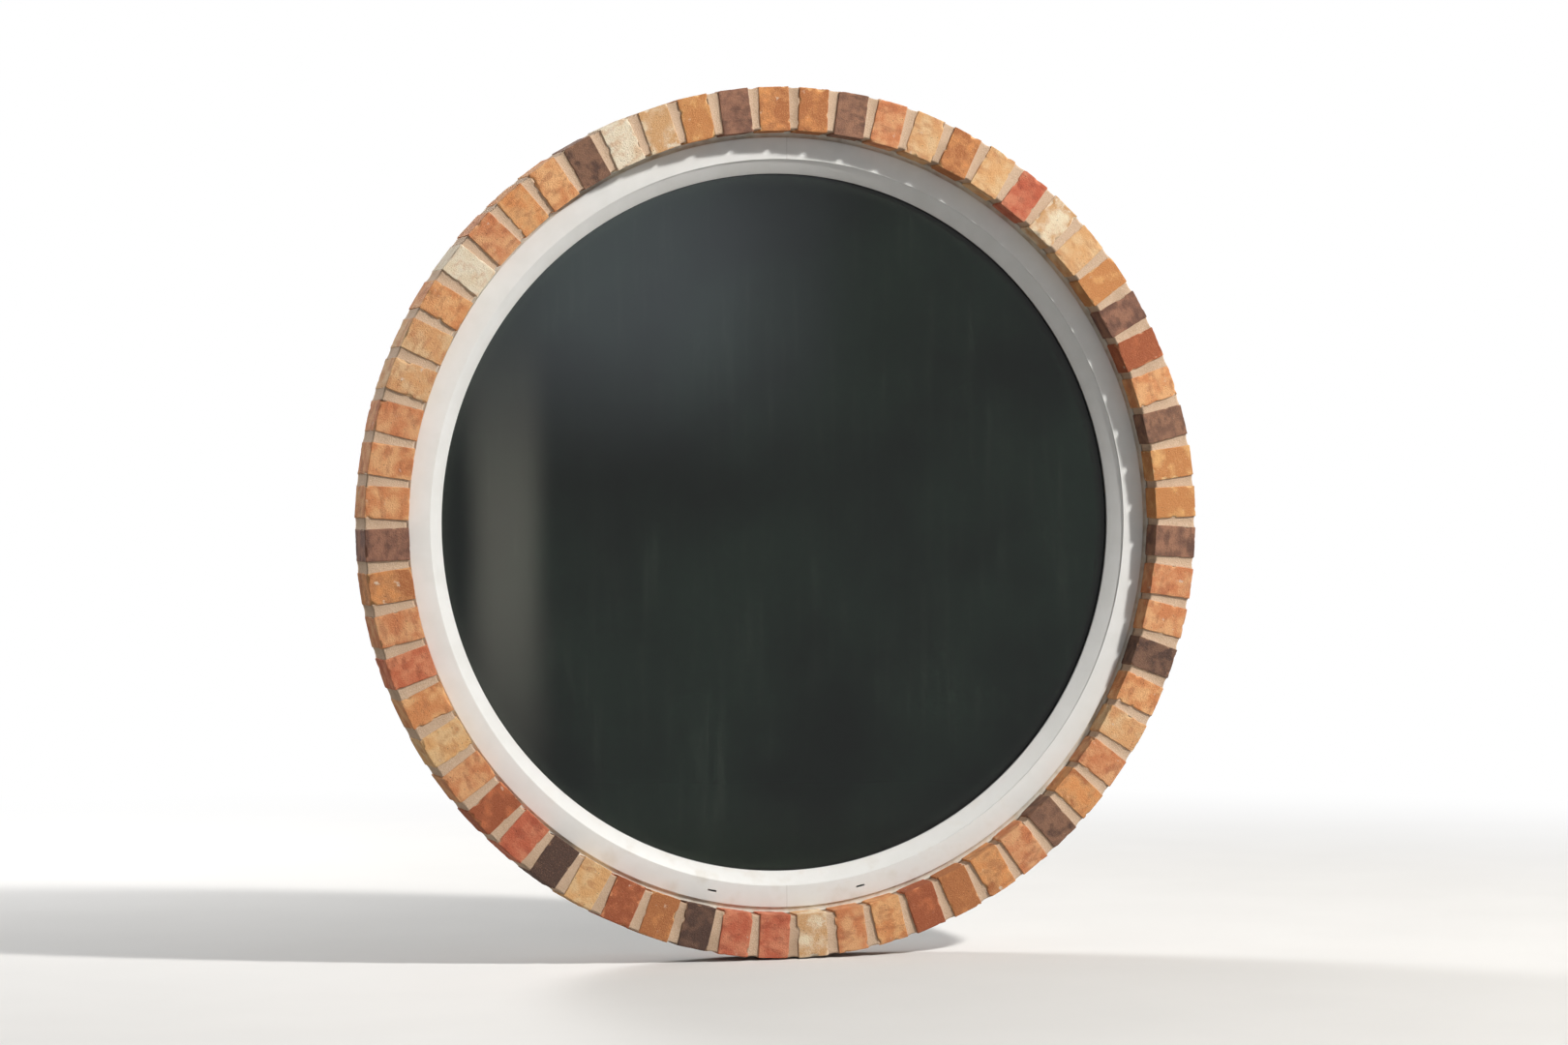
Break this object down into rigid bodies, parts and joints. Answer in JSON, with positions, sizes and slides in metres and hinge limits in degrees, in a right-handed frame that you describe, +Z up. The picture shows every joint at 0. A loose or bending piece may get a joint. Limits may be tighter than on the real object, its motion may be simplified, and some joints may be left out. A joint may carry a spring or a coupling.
{
  "type": "oculus window",
  "caption": "Fixed round window with a white frame, sloped glazing bead and dark sealed glass, in a proud surround of brick ends laid like spokes.",
  "frame": {"origin": "centre of the window in the plane where the fixing straps lie on the wall's sheathing", "axes": "+Y along the window's axis into the room, +Z up, +X to the right seen from outside"},
  "size_m": [1.706, 0.131, 1.706],
  "materials": {
    "brick_orange": "matte",
    "brick_tan": "matte",
    "brick_red": "matte",
    "brick_brown": "matte",
    "brick_cream": "matte",
    "mortar": "matte",
    "sealant": "satin",
    "foam_rod": "matte",
    "white_vinyl": "satin",
    "zinc_steel": "satin",
    "black_rubber": "satin",
    "dark_glass": "polished",
    "clear_glass": "polished",
    "grey_foam": "matte",
    "black_butyl": "matte"
  },
  "bodies": {
    "root": {"bricks_orange": "brick_orange", "bricks_tan": "brick_tan", "bricks_red": "brick_red", "bricks_brown": "brick_brown", "bricks_cream": "brick_cream", "mortar_joints": "mortar", "perimeter_sealant": "sealant", "backer_rod": "foam_rod", "window_frame": "white_vinyl", "fixing_straps": "zinc_steel", "glazing_bead": "white_vinyl", "bead_gasket": "black_rubber", "outer_pane": "dark_glass", "inner_pane": "clear_glass", "spacer": "grey_foam", "edge_seal": "black_butyl", "glazing_tape": "black_butyl", "setting_blocks": "black_rubber", "location_blocks": "black_rubber"}
  },
  "joints": []
}
